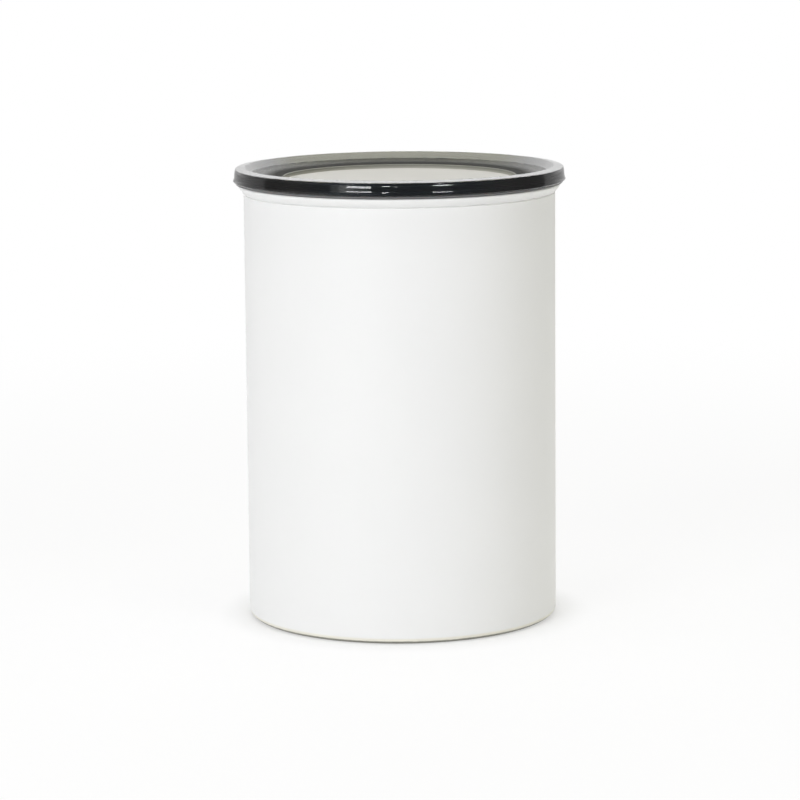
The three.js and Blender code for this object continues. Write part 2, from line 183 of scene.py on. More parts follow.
# Sizes of the inner lid
PLATE_WALL = 2
VALVE_ROOM_RADIUS = 11
SHELL_WALL_RADIUS = PLATE_RIM_RADIUS - 2
SHELL_BORE = SHELL_WALL_RADIUS - 2.2
SHELL_FLOOR_TOP = SHELL_FLOOR + 2.4
SEAL_FLANGE_WALL = 2
GUIDE_FLANGE_WALL = 2.2
SEAL_LIP_DEPTH = 1.9
SEAL_LIP_RISE = 2.1
SEAL_LIP_WALL = 0.8
SCREW_RADIUS = 1.5
SCREW_HEAD_RADIUS = 2.8
SCREW_HEAD_HEIGHT = 1.6
SCREW_SLOT_WIDTH = 0.8
SCREW_SLOT_DEPTH = 0.7
SCREW_CROWN = 0.55
SCREW_BORE = SCREW_RADIUS + RUNNING_GAP
SCREW_NODES = [node for node in BODY_OF if node.startswith("plate_screw")]
SCREW_PLACES = [tuple((low(node) + high(node)) / 2)[:2] for node in SCREW_NODES]
BOSS_RADIUS = 3.6
BOSS_FLOOR = 0.6
DRILL_OVERSHOOT = 1

# Sizes of the handle and its ears
PIVOT = Vector(next(j["pos_m"] for j in frame["joints"] if j["name"] == "handle_fold")) / MM
HANDLE_HALF = high("handle").x
HANDLE_REACH = high("handle").y
HANDLE_BAND = 7
HANDLE_THICKNESS = 6
HANDLE_CORNER = 17.5
HANDLE_EDGE = 2.2
EYE_RADIUS = 4.2
EYE_LENGTH = 6.5
EYE_PROUD = 0.1
CROSSBAR_RADIUS = 3.2
CAM_RADIUS = 4.5
CAM_WIDTH = 6
CAM_LIFT = 2.5
CAM_FALL_ANGLE = math.pi / 3
EAR_INNER = HANDLE_HALF + RUNNING_GAP
EAR_WALL = 3
EAR_RADIUS = 4.4
EAR_FOOT = 6
PIN_RADIUS = 2
PIN_HEAD_RADIUS = 3
PIN_HEAD_WALL = 1
PIN_BORE = PIN_RADIUS + RUNNING_GAP
PIN_BORE_REACH = 40
EAR_ROOT = 1

# Sizes of the vent valve
STEM_RADIUS = 2
VALVE_HEAD_WALL = 1.8
HOUSING_WALL = 2
HOUSING_FLANGE_WALL = 1.4
SPRING_TURNS = 3.5
SPRING_WIRE_RADIUS = 0.4
SPRING_COIL_RADIUS = 4.3
CLIP_MOUTH = 2.6
VALVE_SEAL_BEAD = 0.5
VENT_COUNT = 6
VENT_RADIUS = 1.1
VENT_CIRCLE = 5
STEM_BORE = STEM_RADIUS + RUNNING_GAP


class Wire:
    """An output socket of a node. Operators on it add Math nodes, so that shader maths reads as Python."""

    def __init__(self, nodes, socket):
        self.nodes = nodes
        self.socket = socket

    def _maths(self, operation, first, second):
        return self.nodes.add("Math", {"operation": operation}, {0: first, 1: second})

    def __add__(self, other):
        return self._maths("ADD", self, other)

    def __radd__(self, other):
        return self._maths("ADD", other, self)

    def __sub__(self, other):
        return self._maths("SUBTRACT", self, other)

    def __rsub__(self, other):
        return self._maths("SUBTRACT", other, self)

    def __mul__(self, other):
        return self._maths("MULTIPLY", self, other)

    def __rmul__(self, other):
        return self._maths("MULTIPLY", other, self)

    def __pow__(self, other):
        return self._maths("POWER", self, other)

    def __or__(self, other):
        return self._maths("MAXIMUM", self, other)


class Nodes:
    """The nodes of one material or world. add() makes any node from its kind, settings and sockets."""

    def __init__(self, tree):
        self.tree = tree
        tree.nodes.clear()

    def add(self, kind, settings=None, sockets=None, output=0):
        node = self.tree.nodes.new("ShaderNode" + kind)
        for key, value in (settings or {}).items():
            setattr(node, key, value)
        for key, value in (sockets or {}).items():
            if isinstance(value, Wire):
                self.tree.links.new(value.socket, node.inputs[key])
            else:
                node.inputs[key].default_value = value
        return Wire(self, node.outputs[output]) if node.outputs else node

    def place(self):
        return self.add("TexCoord", output="Object")

    def stretched(self, vector, scale):
        return self.add("VectorMath", {"operation": "MULTIPLY"}, {0: vector, 1: scale})

    def length(self, vector):
        return self.add("VectorMath", {"operation": "LENGTH"}, {0: vector}, "Value")

    def along(self, vector, axis):
        return self.add("SeparateXYZ", None, {0: vector}, axis)

    def noise(self, vector, scale, detail=2.0, roughness=0.5):
        sockets = {"Vector": vector, "Scale": scale, "Detail": detail, "Roughness": roughness}
        return self.add("TexNoise", None, sockets, "Fac")

    def fade(self, value, start, end, floor=0.0, ceiling=1.0):
        settings = {"interpolation_type": "SMOOTHSTEP"}
        sockets = {"Value": value, "From Min": start, "From Max": end, "To Min": floor, "To Max": ceiling}
        return self.add("MapRange", settings, sockets)

    def mixed(self, share, first, second):
        settings = {"data_type": "RGBA"}
        return self.add("Mix", settings, {0: share, 6: first, 7: second}, output=2)

    def bump(self, height, depth, strength=1.0):
        return self.add("Bump", None, {"Height": height, "Distance": depth, "Strength": strength})

    def surface(self, sockets):
        return self.add("BsdfPrincipled", None, sockets)

    def finish(self, surface, volume=None):
        output = self.add("OutputMaterial", None, {"Surface": surface})
        if volume is not None:
            self.tree.links.new(volume.socket, output.inputs["Volume"])


def rgb(red, green, blue):
    return (red, green, blue, 1.0)


def new_material(name):
    material = bpy.data.materials.new(name)
    material.use_nodes = True
    return material, Nodes(material.node_tree)


# Heights on the foot where a contact shadow and a warm reflection are painted into the powder coat, in metres
FOOT_SHADE_RAGGED = 0.0003
FOOT_SHADE_EDGE = (0.0011, 0.0016)
FOOT_REFLECTION_EDGE = (0.0018, 0.0028)
# Where the satin skin of the lid's shoulder thickens, and from what share to what share
SKIN_EDGE = ((LID_RECESS_RADIUS + 3) * MM, (LID_RECESS_RADIUS + 9) * MM)
SKIN_SHARES = (0.16, 0.96)
# Where the light painted on the lid's bevel grows paler towards the disc, in metres
PALE_RAGGED = 0.0002
PALE_EDGE = ((DISC_TOP - 0.1) * MM, LID_RECESS_TOP * MM)
SCRATCH_EDGE = (0.66, 0.74)


def powder_coat():
    """Matte white powder coat: a fine even peel, a painted warm reflection of the floor just above the foot,
    and a painted contact shadow along the foot's lowest edge.
    """
    material, n = new_material("white_powder_coat")
    place = n.place()
    height = n.along(place, "Z")
    cloud = n.noise(place, scale=22, detail=3)
    peel = n.noise(place, scale=1500, roughness=0.6)
    speck = n.noise(place, scale=420, detail=1)
    # Painted shade: the foot's lowest edge is darkened as a contact shadow where it meets the floor
    foot_shade = 1 - n.fade(height + FOOT_SHADE_RAGGED * speck, *FOOT_SHADE_EDGE)
    # Painted reflection: a warm cream band just above the foot
    foot_reflection = 1 - n.fade(height, *FOOT_REFLECTION_EDGE)
    white = n.mixed(cloud, rgb(0.842, 0.844, 0.842), rgb(0.866, 0.867, 0.863))
    # The cream colour is the painted warm reflection of the floor
    tone = n.mixed(foot_reflection, white, rgb(0.84, 0.82, 0.73))
    # The dark grey is the painted contact shadow at the foot
    colour = n.mixed(0.85 * foot_shade, tone, rgb(0.20, 0.20, 0.17))
    shine = 0.44 + 0.10 * peel + 0.12 * foot_shade
    normal = n.bump(peel, depth=0.00004, strength=0.35)
    sockets = {"Base Color": colour, "Roughness": shine, "Normal": normal}
    n.finish(n.surface(sockets))
    return material


def brushed_steel(name, streak, tone, satin=0.24, metal=1.0):
    """Bare steel with fine brush lines along the direction in which streak is small."""
    material, n = new_material(name)
    place = n.place()
    lines = n.noise(n.stretched(place, streak), scale=1, detail=4, roughness=0.65)
    cloud = n.noise(place, scale=60)
    dark = tuple(0.86 * value for value in tone)
    colour = n.mixed(lines, rgb(*dark), rgb(*tone))
    shine = satin + 0.16 * lines + 0.08 * cloud
    normal = n.bump(lines, depth=0.00003, strength=0.4)
    sockets = {"Base Color": colour, "Metallic": metal, "Roughness": shine, "Normal": normal}
    n.finish(n.surface(sockets))
    return material


def smoked_plastic():
    """Clear smoked plastic: polished, darker the thicker it is, with hair scratches and a little haze."""
    material, n = new_material("smoked_plastic")
    place = n.place()
    haze = n.noise(place, scale=70, detail=3)
    hair = n.noise(n.stretched(place, (2200, 160, 500)), scale=1, roughness=0.7)
    scratch = n.fade(hair, *SCRATCH_EDGE)
    sockets = {
        "Base Color": rgb(0.97, 0.97, 0.96),
        "Roughness": 0.015 + 0.008 * haze + 0.012 * scratch,
        "IOR": 1.5,
        "Transmission Weight": 1.0,
    }
    smoke = n.add("VolumeAbsorption", None, {"Color": rgb(0.26, 0.26, 0.2), "Density": 1100.0})
    n.finish(n.surface(sockets), smoke)
    return material


def satin_bevel():
    """The lid's satin bevel round its disc: the smoked plastic dulled, dark at the top, with painted light
    that stands for light seen through the plastic and grows paler towards the disc.
    """
    material, n = new_material("satin_bevel")
    place = n.place()
    height = n.along(place, "Z")
    grain = n.noise(place, scale=1800)
    # Painted light: the bevel grows paler towards the disc, standing in for light seen through the smoked
    # plastic
    pale = 1 - n.fade(height + PALE_RAGGED * grain, *PALE_EDGE)
    # The pale colour is the painted light seen through the plastic
    colour = n.mixed(pale, rgb(0.125, 0.125, 0.105), rgb(0.40, 0.395, 0.345))
    n.finish(n.surface({"Base Color": colour, "Roughness": 0.42 + 0.12 * grain}))
    return material


def satin_shoulder():
    """The lid's shoulder: the smoked plastic with a satin skin, which thins towards the recess."""
    material, n = new_material("satin_shoulder")
    place = n.place()
    grain = n.noise(place, scale=1500)
    colour = n.mixed(grain, rgb(0.016, 0.016, 0.014), rgb(0.024, 0.024, 0.02))
    radius = n.length(n.stretched(place, (1, 1, 0)))
    skin = n.fade(radius, *SKIN_EDGE, *SKIN_SHARES)
    sockets = {
        "Base Color": colour,
        "Roughness": 0.3 + 0.06 * grain,
        "Specular IOR Level": 0.0,
        "Coat Weight": skin + 0.08 * grain,
        "Coat Roughness": 0.22,
        "Coat IOR": 1.105,
    }
    n.finish(n.surface(sockets))
    return material


def pale_disc():
    """The pale disc in the lid: matte, with a fine even tooth and a faint cloud."""
    material, n = new_material("pale_disc")
    place = n.place()
    tooth = n.noise(place, scale=2400, roughness=0.6)
    cloud = n.noise(place, scale=30, detail=3)
    colour = n.mixed(0.7 * cloud + 0.3 * tooth, rgb(0.565, 0.555, 0.53), rgb(0.605, 0.595, 0.57))
    sockets = {
        "Base Color": colour,
        "Roughness": 0.62 + 0.12 * tooth,
        "Specular IOR Level": 0.05,
        "Normal": n.bump(tooth, depth=0.00002, strength=0.3),
    }
    n.finish(n.surface(sockets))
    return material


def moulded_plastic(name, dark, light, shine, grain, depth):
    """Moulded plastic with an etched grain and faint flow marks."""
    material, n = new_material(name)
    place = n.place()
    etched = n.noise(place, grain, detail=3, roughness=0.6)
    flow = n.noise(n.stretched(place, (1, 1, 4)), scale=45)
    colour = n.mixed(0.6 * flow + 0.4 * etched, rgb(*dark), rgb(*light))
    roughness = shine + 0.14 * etched + 0.06 * flow
    normal = n.bump(etched, depth, strength=0.5)
    n.finish(n.surface({"Base Color": colour, "Roughness": roughness, "Normal": normal}))
    return material


def silicone(name, dark, light):
    """Soft grey silicone: slightly milky, with a dusty bloom."""
    material, n = new_material(name)
    place = n.place()
    bloom = n.noise(place, scale=160, detail=4, roughness=0.6)
    skin = n.noise(place, scale=1100)
    colour = n.mixed(bloom, rgb(*dark), rgb(*light))
    sockets = {
        "Base Color": colour,
        "Roughness": 0.5 + 0.2 * bloom,
        "Subsurface Weight": 0.15,
        "Subsurface Scale": 0.001,
        "Normal": n.bump(skin, depth=0.00002, strength=0.4),
    }
    n.finish(n.surface(sockets))
    return material


PAINT = powder_coat()
INSIDE_STEEL = brushed_steel("can_inside_steel", (40, 40, 5000), (0.72, 0.715, 0.70), satin=0.34, metal=0.78)
PAN_STEEL = brushed_steel("base_pan_steel", (3000, 60, 60), (0.62, 0.615, 0.60))
SMALL_STEEL = brushed_steel("small_steel", (700, 700, 700), (0.58, 0.58, 0.58))
SMOKE = smoked_plastic()
BEVEL = satin_bevel()
SHOULDER = satin_shoulder()
DISC = pale_disc()
BLACK_PLASTIC = moulded_plastic(
    "black_plastic", (0.016, 0.016, 0.017), (0.026, 0.026, 0.028), shine=0.42, grain=1400, depth=0.00004)
HANDLE_PLASTIC = moulded_plastic(
    "handle_plastic", (0.03, 0.031, 0.033), (0.048, 0.05, 0.053), shine=0.28, grain=700, depth=0.00002)
SILICONE = silicone("grey_silicone", (0.30, 0.31, 0.31), (0.40, 0.41, 0.41))
RING_SILICONE = silicone("ring_silicone", (0.145, 0.145, 0.15), (0.185, 0.185, 0.19))


def arc(centre_radius, centre_height, radius, start, end, steps=8):
    """Points of an arc in a turned outline, between two angles in degrees."""
    points = []
    for i in range(steps + 1):
        angle = math.radians(start + (end - start) * i / steps)
        points.append((centre_radius + radius * math.cos(angle), centre_height + radius * math.sin(angle)))
    return points


def softened(points, radius, closed=True, steps=4):
    """The same outline with its corners rounded off. A point's third number is its own radius."""
    outline = []
    count = len(points)
    for i, point in enumerate(points):
        here = Vector(point[:2])
        own = point[2] if len(point) > 2 else radius
        before = Vector(points[i - 1][:2]) - here
        after = Vector(points[(i + 1) % count][:2]) - here
        is_end = not closed and i in (0, count - 1)
        if is_end or own == 0 or before.angle(after) > STRAIGHT_ANGLE:
            outline.append(tuple(here))
            continue
        room_left = CORNER_SHARE * min(before.length, after.length)
        reach = min(own / math.tan(before.angle(after) / 2), room_left)
        start = here + reach * before.normalized()
        end = here + reach * after.normalized()
        for k in range(steps + 1):
            share = k / steps
            outline.append(tuple(start.lerp(here, share).lerp(here.lerp(end, share), share)))
    return outline


def new_object(name, mesh, materials):
    for material in materials:
        mesh.materials.append(material)
    piece = bpy.data.objects.new(name, mesh)
    bpy.context.scene.collection.objects.link(piece)
    return piece


def smoothed(mesh):
    mesh.shade_smooth()
    mesh.set_sharp_from_angle(angle=SHARP_ANGLE)


def turned(name, runs, materials, steps=TURN_STEPS, closed=True, matrix=None):
    """A piece turned about Z. A run is a material's number and a stretch of outline, anticlockwise."""
    outline = []
    numbers = []
    for number, stretch in runs:
        for point in stretch:
            if outline and (Vector(point) - Vector(outline[-1])).length < TINY:
                continue
            outline.append(tuple(point))
            numbers.append(number)
    vertices = []
    rings = []
    for radius, height in outline:
        count = 1 if radius < TINY else steps
        rings.append([len(vertices) + k for k in range(count)])
        for k in range(count):
            angle = 2 * math.pi * k / steps
            vertices.append((radius * math.cos(angle) * MM, radius * math.sin(angle) * MM, height * MM))
    faces = []
    face_numbers = []
    last = len(outline) if closed else len(outline) - 1
    for i in range(last):
        here, there = rings[i], rings[(i + 1) % len(outline)]
        for k in range(steps):
            corners = [here[k % len(here)], here[(k + 1) % len(here)]]
            corners += [there[(k + 1) % len(there)], there[k % len(there)]]
            face = list(dict.fromkeys(corners))
            if len(face) > 2:
                faces.append(face)
                face_numbers.append(numbers[(i + 1) % len(outline)])
    mesh = bpy.data.meshes.new(name)
    mesh.from_pydata(vertices, [], faces)
    mesh.polygons.foreach_set("material_index", face_numbers)
    if matrix is not None:
        mesh.transform(matrix)
    smoothed(mesh)
    return new_object(name, mesh, materials)


def swept(name, path, section, materials):
    """A bar whose section, in mm across and up, follows a path of points. Up stays close to Z."""
    vertices = []
    for i, point in enumerate(path):
        ahead = Vector(path[min(i + 1, len(path) - 1)]) - Vector(path[max(i - 1, 0)])
        across = ahead.cross(Vector((0, 0, 1))).normalized()
        up = across.cross(ahead).normalized()
        vertices += [tuple((Vector(point) + across * a + up * b) * MM) for a, b in section]
    count = len(section)
    faces = [list(range(count)), list(range(len(vertices) - 1, len(vertices) - count - 1, -1))]
    for i in range(len(path) - 1):
        for k in range(count):
            beside = (k + 1) % count
            here, ahead = i * count, (i + 1) * count
            faces.append([here + k, ahead + k, ahead + beside, here + beside])
    mesh = bpy.data.meshes.new(name)
    mesh.from_pydata(vertices, [], faces)
    made = bmesh.new()
    made.from_mesh(mesh)
    bmesh.ops.recalc_face_normals(made, faces=made.faces)
    made.to_mesh(mesh)
    made.free()
    smoothed(mesh)
    return new_object(name, mesh, materials)


def slab(name, outline, thickness, matrix, materials, edge):
    """A flat plate of an outline, centred on its own Z, with softened edges, then placed by a matrix."""
    made = bmesh.new()
    base = [made.verts.new((x * MM, y * MM, -thickness / 2 * MM)) for x, y in outline]
    bottom = made.faces.new(base)
    raised = bmesh.ops.extrude_face_region(made, geom=[bottom])
    moving = [item for item in raised["geom"] if isinstance(item, bmesh.types.BMVert)]
    bmesh.ops.translate(made, verts=moving, vec=(0, 0, thickness * MM))
    bmesh.ops.recalc_face_normals(made, faces=made.faces)
    rims = [e for e in made.edges if abs(e.verts[0].co.z - e.verts[1].co.z) < TINY]
    bmesh.ops.bevel(made, geom=rims, offset=edge * MM, segments=2, affect="EDGES", profile=0.5)
    mesh = bpy.data.meshes.new(name)
    made.to_mesh(mesh)
    made.free()
    mesh.transform(matrix)
    smoothed(mesh)
    return new_object(name, mesh, materials)


def combined(piece, others, operation="UNION"):
    """The piece with other pieces joined to it or cut out of it. The others are used up."""
    for other in others:
        modifier = piece.modifiers.new("join", "BOOLEAN")
        modifier.operation = operation
        modifier.solver = "EXACT"
        modifier.object = other
    view = bpy.context.evaluated_depsgraph_get()
    whole = bpy.data.meshes.new_from_object(piece.evaluated_get(view))
    piece.modifiers.clear()
    piece.data = whole
    smoothed(whole)
    for other in others:
        bpy.data.objects.remove(other)
    return piece


def settle(piece, node):
    """The piece stands for a CAD node: it hides the node and rides on its body."""
    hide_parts(node)
    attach(piece, BODY_OF[node])
    return piece


def along_x(x, y, z):
    """The place of a turned piece whose axis lies along X instead of Z."""
    return Matrix.Translation(Vector((x, y, z)) * MM) @ Matrix.Rotation(math.pi / 2, 4, "Y")


def can():
    bead_centre = LIP_RADIUS - LIP_BEAD_RADIUS
    bead_height = LIP_TOP - LIP_BEAD_RADIUS
    hem = FOOT_CENTRE - HEM_WIDTH
    crease_floor, crease_top = LIP_CREASE - CREASE_WIDTH, LIP_CREASE + CREASE_WIDTH
    outside = [(hem, TRIM_EDGE), (hem + TRIM_EDGE, 0)]
    outside += arc(FOOT_CENTRE, FOOT_RADIUS, FOOT_RADIUS, -90, 0, steps=12)
    outside += [(CAN_RADIUS, crease_floor)]
    outside += [(CAN_RADIUS - CREASE_DEPTH, LIP_CREASE), (FLARE_START, crease_top)]
    outside += arc(bead_centre, bead_height, LIP_BEAD_RADIUS, -20, 90, steps=10)
    inside = arc(bead_centre, bead_height, LIP_BEAD_RADIUS, 90, 190)
    inside += [(FLARE_BORE, crease_top), (CAN_BORE, crease_floor)]
    inside += arc(FOOT_CENTRE, FOOT_RADIUS, FOOT_RADIUS - CAN_WALL, 0, -90)
    inside += [(hem, CAN_WALL)]
    return settle(turned("can_shell", [(0, outside), (1, inside)], [PAINT, INSIDE_STEEL]), "canister_body")


def base():
    outer_corner = PAN_RADIUS - FOOT_CENTRE
    inner_corner = outer_corner - PAN_WALL
    raised = PAN_FLOOR + PAN_RAISE
    under = softened(
        [(0, raised), (PAN_RAISE_RADIUS, raised), (PAN_SLOPE_RADIUS, PAN_FLOOR), (FOOT_CENTRE, PAN_FLOOR)],
        DISH_EDGE, closed=False)
    over = softened(
        [(FOOT_CENTRE, PAN_FLOOR + PAN_WALL), (PAN_SLOPE_RADIUS, PAN_FLOOR + PAN_WALL),
         (PAN_RAISE_RADIUS, raised + PAN_WALL), (0, raised + PAN_WALL)],
        DISH_EDGE, closed=False)
    outline = under + arc(FOOT_CENTRE, FOOT_RADIUS, outer_corner, -90, 0)
    outline += [(FOOT_CENTRE + outer_corner, PAN_FLANGE_TOP), (FOOT_CENTRE + inner_corner, PAN_FLANGE_TOP)]
    outline += arc(FOOT_CENTRE, FOOT_RADIUS, inner_corner, 0, -90) + over
    return settle(turned("can_base", [(0, outline)], [PAN_STEEL], closed=False), "base_pan")


def rim_face(steps=14):
    """Outline of the rim's front, from its tip up through a shallow waist to its crown."""
    points = []
    for i in range(-steps, steps + 1):
        share = i / steps
        span, inset, even = LID_TIP - LID_WAIST, LID_RADIUS - LID_WAIST_RADIUS, LOWER_LEAN
        if share > 0:
            span = LID_CROWN_TOP - LID_CROWN_ROUND - LID_WAIST
            inset, even = LID_CROWN_RADIUS - LID_WAIST_RADIUS, UPPER_LEAN
        lean = even * abs(share) + (1 - even) * abs(share) ** 3
        points.append((LID_WAIST_RADIUS + inset * lean, LID_WAIST + span * abs(share)))
    return points


def outer_lid():
    underside = softened(
        [(0, LID_PANEL_FLOOR), (LID_RECESS_CORNER, LID_PANEL_FLOOR, BROAD_EDGE),
         (LID_RECESS_CORNER, LID_SHOULDER_FLOOR, BROAD_EDGE), (PLUG_BORE, LID_SHOULDER_FLOOR, FULL_EDGE),
         (PLUG_BORE, PLUG_FLOOR, BROAD_EDGE), (PLUG_RADIUS, PLUG_FLOOR, BROAD_EDGE),
         (PLUG_RADIUS, LID_RIM_FLOOR), (LID_RADIUS - LID_TIP_TAPER, LID_RIM_FLOOR)],
        FINE_EDGE, closed=False)
    crown = (LID_CROWN_RADIUS - LID_CROWN_ROUND, LID_CROWN_TOP - LID_CROWN_ROUND)
    rim = underside + rim_face() + arc(*crown, LID_CROWN_ROUND, 8, 82, 8)
    step_foot = (LID_SHOULDER_RADIUS, LID_SHOULDER_TOP)
    top = softened([rim[-1], (LID_LAND_INNER, LID_TOP), step_foot], FINE_EDGE, closed=False, steps=8)
    shoulder = [step_foot, (LID_RECESS_RADIUS + CRISP_EDGE, LID_RECESS_TOP)]
    bevel = [(LID_RECESS_RADIUS, LID_RECESS_TOP - CRISP_EDGE), (LID_RECESS_RADIUS, LID_PANEL_TOP + CRISP_EDGE)]
    panel = [(LID_RECESS_RADIUS - CRISP_EDGE, LID_PANEL_TOP), (0, LID_PANEL_TOP)]
    runs = [(0, rim + top), (2, shoulder), (1, bevel), (0, panel)]
    return settle(turned("smoked_lid", runs, [SMOKE, BEVEL, SHOULDER], LID_STEPS, closed=False), "outer_lid")


def lid_disc():
    outline = softened(
        [(0, DISC_FLOOR), (DISC_RADIUS, DISC_FLOOR), (DISC_RADIUS, DISC_TOP, NEAT_EDGE), (0, DISC_TOP)],
        TRIM_EDGE, closed=False)
    return settle(turned("lid_inset", [(0, outline)], [DISC], LID_STEPS, closed=False), "lid_disc")


def lid_seal():
    bore = PLUG_RADIUS + RUNNING_GAP
    outline = softened(
        [(bore, LID_SEAL_FLOOR), (LID_SEAL_RADIUS, LID_SEAL_FLOOR), (LID_SEAL_RADIUS, LID_SEAL_TOP),
         (bore, LID_SEAL_TOP)],
        TRIM_EDGE)
    return settle(turned("lid_ring", [(0, outline)], [RING_SILICONE], LID_STEPS), "lid_seal")


def rod(radius, bottom, top, x=0, y=0):
    """A plain upright rod, which is joined to the inner lid or cuts a hole in it."""
    outline = [(0, bottom), (radius, bottom), (radius, top), (0, top)]
    place = Matrix.Translation(Vector((x, y, 0)) * MM) @ HALF_STEP
    return turned("rod", [(0, outline)], [BLACK_PLASTIC], SMALL_STEPS, False, place)


def ear(side):
    outline = [(-EAR_FOOT, SHELL_FLOOR_TOP - EAR_ROOT), (EAR_FOOT, SHELL_FLOOR_TOP - EAR_ROOT)]
    outline += arc(0, PIVOT.z, EAR_RADIUS, 0, 180, steps=16)
    place = Matrix.Translation((side * (EAR_INNER + EAR_WALL / 2) * MM, 0, 0)) @ UPRIGHT
    return slab("ear", outline, EAR_WALL, place, [BLACK_PLASTIC], SOFT_EDGE)


def inner_lid_shell():
    flange_floor = SEAL_TOP + SEAT_GAP
    flange_top = flange_floor + SEAL_FLANGE_WALL
    guide_floor = SHELL_TOP - GUIDE_FLANGE_WALL
    outline = softened(
        [(0, SHELL_FLOOR), (SHELL_WALL_RADIUS, SHELL_FLOOR), (SHELL_WALL_RADIUS, flange_floor, CRISP_EDGE),
         (PLATE_RIM_RADIUS, flange_floor), (PLATE_RIM_RADIUS, flange_top), (SHELL_WALL_RADIUS, flange_top),
         (SHELL_WALL_RADIUS, guide_floor), (GUIDE_RADIUS, guide_floor), (GUIDE_RADIUS, SHELL_TOP, ROUND_EDGE),
         (SHELL_BORE, SHELL_TOP, ROUND_EDGE), (SHELL_BORE, SHELL_FLOOR_TOP, DISH_EDGE), (0, SHELL_FLOOR_TOP)],
        EASED_EDGE, closed=False)
    shell = turned("inner_lid_shell", [(0, outline)], [BLACK_PLASTIC], closed=False)
    combined(shell, [ear(-1), ear(1)])
    reach = PIN_BORE_REACH
    across = [(0, -reach), (PIN_BORE, -reach), (PIN_BORE, reach), (0, reach)]
    pin_bore = turned("pin_bore", [(0, across)], [BLACK_PLASTIC], SMALL_STEPS, False, along_x(0, 0, PIVOT.z))
    through = (SHELL_FLOOR - DRILL_OVERSHOOT, SHELL_FLOOR_TOP + DRILL_OVERSHOOT)
    holes = [pin_bore, rod(STEM_BORE, *through)]
    holes += [rod(SCREW_BORE, *through, x, y) for x, y in SCREW_PLACES]
    vent_places = arc(0, 0, VENT_CIRCLE, 0, 360, VENT_COUNT)[:-1]
    holes += [rod(VENT_RADIUS, *through, x, y) for x, y in vent_places]
    return settle(combined(shell, holes, "DIFFERENCE"), "plunger_shell")


def inner_lid_plate():
    spigot_top = SHELL_FLOOR - SEAT_GAP
    plate_top = PLATE_FLOOR + PLATE_WALL
    outline = softened(
        [(VALVE_ROOM_RADIUS, PLATE_FLOOR), (PLATE_RIM_RADIUS, PLATE_FLOOR, PLATE_EDGE),
         (PLATE_RIM_RADIUS, plate_top), (SHELL_WALL_RADIUS, plate_top), (SHELL_WALL_RADIUS, spigot_top),
         (SHELL_BORE, spigot_top), (SHELL_BORE, plate_top), (VALVE_ROOM_RADIUS, plate_top)],
        EASED_EDGE)
    plate = turned("inner_lid_plate", [(0, outline)], [BLACK_PLASTIC])
    boss_root = plate_top - PLATE_WALL / 2
    combined(plate, [rod(BOSS_RADIUS, boss_root, spigot_top, x, y) for x, y in SCREW_PLACES])
    pilots = [rod(SCREW_BORE, plate_top + BOSS_FLOOR, SHELL_FLOOR, x, y) for x, y in SCREW_PLACES]
    return settle(combined(plate, pilots, "DIFFERENCE"), "plunger_base_plate")


def wiper_ring():
    bore = SHELL_WALL_RADIUS + RUNNING_GAP
    valley = SEAL_TIP - SEAL_LIP_DEPTH
    outline = softened(
        [(bore, SEAL_FLOOR), (PLATE_RIM_RADIUS, SEAL_FLOOR, 0), (SEAL_TIP, SEAL_FLOOR, SOFT_EDGE),
         (SEAL_TIP, SEAL_FLOOR + SEAL_LIP_WALL, EASED_EDGE), (valley, SEAL_FLOOR + SEAL_LIP_RISE, VALLEY_EDGE),
         (valley, SEAL_TOP - SEAL_LIP_RISE, VALLEY_EDGE), (SEAL_TIP, SEAL_TOP - SEAL_LIP_WALL, EASED_EDGE),
         (SEAL_TIP, SEAL_TOP, SOFT_EDGE), (PLATE_RIM_RADIUS, SEAL_TOP, 0), (bore, SEAL_TOP)],
        FINE_EDGE)
    return settle(turned("wiper_ring", [(0, outline)], [SILICONE]), "wiper_seal")


def plate_screw(node):
    centre = (low(node) + high(node)) / 2
    tip = low(node).z
    head_floor = SHELL_FLOOR_TOP + SEAT_GAP
    head_top = head_floor + SCREW_HEAD_HEIGHT
    outline = softened(
        [(0, tip), (SCREW_RADIUS, tip), (SCREW_RADIUS, head_floor), (SCREW_HEAD_RADIUS, head_floor),
         (SCREW_HEAD_RADIUS, head_top - SCREW_HEAD_HEIGHT * SCREW_CROWN, BROAD_EDGE),
         (SCREW_HEAD_RADIUS * SCREW_CROWN, head_top, FULL_EDGE), (0, head_top)],
        CRISP_EDGE, closed=False)
    place = Matrix.Translation(Vector((centre.x, centre.y, 0)) * MM)
    screw = turned(node + "_fine", [(0, outline)], [SMALL_STEEL], SMALL_STEPS, False, place)
    half, width = SCREW_HEAD_RADIUS / 2, SCREW_SLOT_WIDTH / 2
    cross = [(-half, -width), (-width, -width), (-width, -half), (width, -half)]
    cross += [(width, -width), (half, -width), (half, width), (width, width)]
    cross += [(width, half), (-width, half), (-width, width), (-half, width)]
    recess_place = Matrix.Translation(Vector((centre.x, centre.y, head_top)) * MM)
    recess = slab("recess", cross, 2 * SCREW_SLOT_DEPTH, recess_place, [SMALL_STEEL], RECESS_EDGE)
    return settle(combined(screw, [recess], "DIFFERENCE"), node)


def valve_collar():
    bottom, top = low("valve_housing").z, high("valve_housing").z
    flange_radius = high("valve_housing").x
    bore = high("valve_stem").x + RUNNING_GAP + SEAT_GAP
    radius = bore + HOUSING_WALL
    outline = softened(
        [(bore, bottom), (flange_radius, bottom), (flange_radius, bottom + HOUSING_FLANGE_WALL),
         (radius, bottom + HOUSING_FLANGE_WALL, ROUND_EDGE), (radius, top, SOFT_EDGE), (bore, top, SOFT_EDGE)],
        FINE_EDGE)
    return settle(turned("valve_collar", [(0, outline)], [BLACK_PLASTIC], SMALL_STEPS), "valve_housing")


